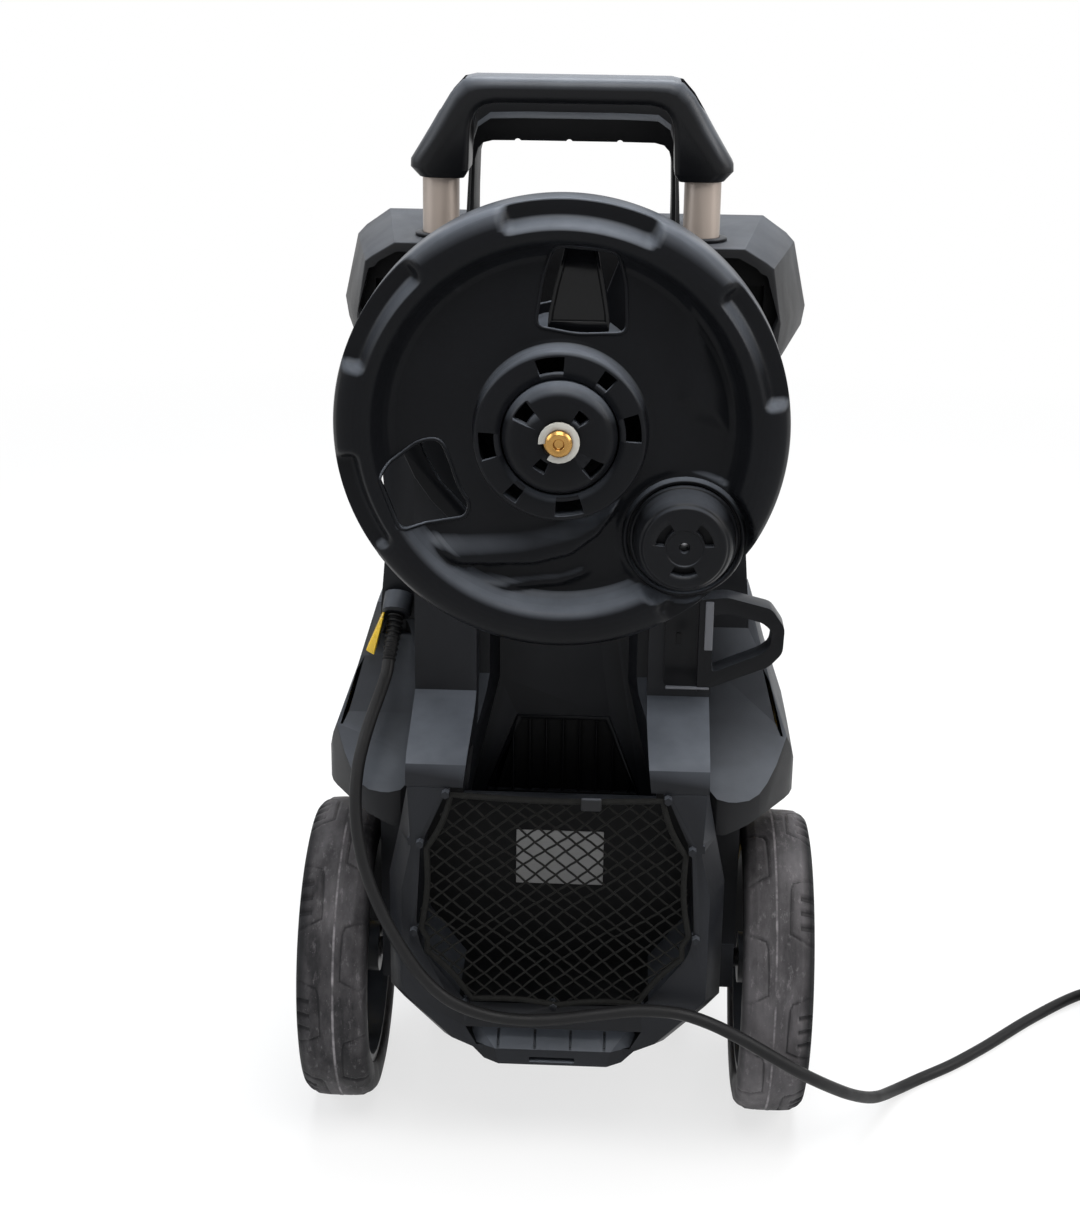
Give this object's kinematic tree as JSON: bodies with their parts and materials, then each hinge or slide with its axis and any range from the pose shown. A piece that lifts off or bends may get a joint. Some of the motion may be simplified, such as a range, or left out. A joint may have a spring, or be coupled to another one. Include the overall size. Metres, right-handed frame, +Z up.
{
  "type": "pressure washer",
  "caption": "Upright electric pressure washer on two wheels, with a crank-wound hose reel, telescopic pull handle, carry handle, net pocket, hose hook and power cord.",
  "frame": {"origin": "on the floor, at the centre of the machine's footprint without its cord", "axes": "+Z up; +Y to the front of the machine, away from the hose reel; +X to the right as seen from behind, on the hook's side"},
  "size_m": [0.7354, 0.46, 0.674],
  "materials": {
    "black_plastic": "satin, lightly grained",
    "grey_plastic": "satin, lightly grained",
    "reel_plastic": "satin",
    "reel_gloss": "polished",
    "yellow_plastic": "smooth",
    "tyre": "dusty, worn tread",
    "rubber": "matt",
    "net_cord": "braided elastic cord",
    "painted_tube": "satin taupe grey",
    "brass": "turned",
    "steel": "turned",
    "aluminium": "cast",
    "clip_plastic": "moulded, off-white"
  },
  "bodies": {
    "chassis": {"base_tray": "black_plastic", "front_foot_left": "rubber", "front_foot_right": "rubber", "axle": "steel", "net_tub": "grey_plastic", "accessory_net": "net_cord", "rear_shell": "grey_plastic", "grille": "black_plastic", "shoulder_block": "grey_plastic", "guide_sleeve_left": "black_plastic", "guide_sleeve_right": "black_plastic", "carry_handle": "grey_plastic", "front_cover": "yellow_plastic", "fender_left": "grey_plastic", "fender_right": "grey_plastic", "reel_carrier": "black_plastic", "reel_spindle": "brass", "retaining_clip": "clip_plastic", "accessory_hook": "black_plastic", "pump_head": "aluminium", "pump_case": "aluminium", "pump_piston_1": "steel", "pump_piston_2": "steel", "pump_piston_3": "steel", "motor_housing": "aluminium", "motor_end_bell": "aluminium", "motor_stator": "aluminium", "switch_housing": "black_plastic", "inlet_coupling": "black_plastic", "outlet_elbow": "brass", "link_hose": "rubber", "strain_relief": "rubber", "cord_lead": "rubber", "cord_coil": "rubber", "cord_tail": "rubber", "cord_tie": "net_cord", "mains_plug": "rubber"},
    "handle": {"handle_grip": "black_plastic", "handle_tube_left": "painted_tube", "handle_tube_right": "painted_tube"},
    "reel": {"reel_front_flange": "reel_plastic", "reel_hub_cap": "reel_plastic", "reel_drum": "reel_plastic", "reel_rear_flange": "reel_plastic", "hose_guide": "reel_gloss"},
    "knob": {"crank_knob": "reel_plastic"},
    "wheel_left": {"tyre_left": "tyre", "rim_left": "black_plastic", "wheel_cap_left": "black_plastic"},
    "wheel_right": {"tyre_right": "tyre", "rim_right": "black_plastic", "wheel_cap_right": "black_plastic"},
    "switch": {"power_switch_knob": "black_plastic"},
    "rotor": {"motor_rotor": "steel"}
  },
  "joints": [
    {"name": "handle_slide", "type": "slide", "parent": "chassis", "child": "handle", "axis": [0, 0, 1], "range_m": [0, 0.25]},
    {"name": "reel_spin", "type": "hinge", "parent": "chassis", "child": "reel", "pos_m": [0, -0.174, 0.4935], "axis": [0, 1, 0], "continuous": true},
    {"name": "knob_spin", "type": "hinge", "parent": "reel", "child": "knob", "pos_m": [0.0706, -0.204, 0.4325], "axis": [0, 1, 0], "continuous": true},
    {"name": "wheel_left_spin", "type": "hinge", "parent": "chassis", "child": "wheel_left", "pos_m": [-0.1415, -0.074, 0.1], "axis": [1, 0, 0], "continuous": true},
    {"name": "wheel_right_spin", "type": "hinge", "parent": "chassis", "child": "wheel_right", "pos_m": [0.1415, -0.074, 0.1], "axis": [1, 0, 0], "continuous": true},
    {"name": "switch_turn", "type": "hinge", "parent": "chassis", "child": "switch", "pos_m": [0, 0.116, 0.42], "axis": [0, 1, 0], "range_deg": [0, 90]},
    {"name": "rotor_spin", "type": "hinge", "parent": "chassis", "child": "rotor", "pos_m": [0, 0.038, 0.28], "axis": [0, 0, 1], "continuous": true}
  ]
}
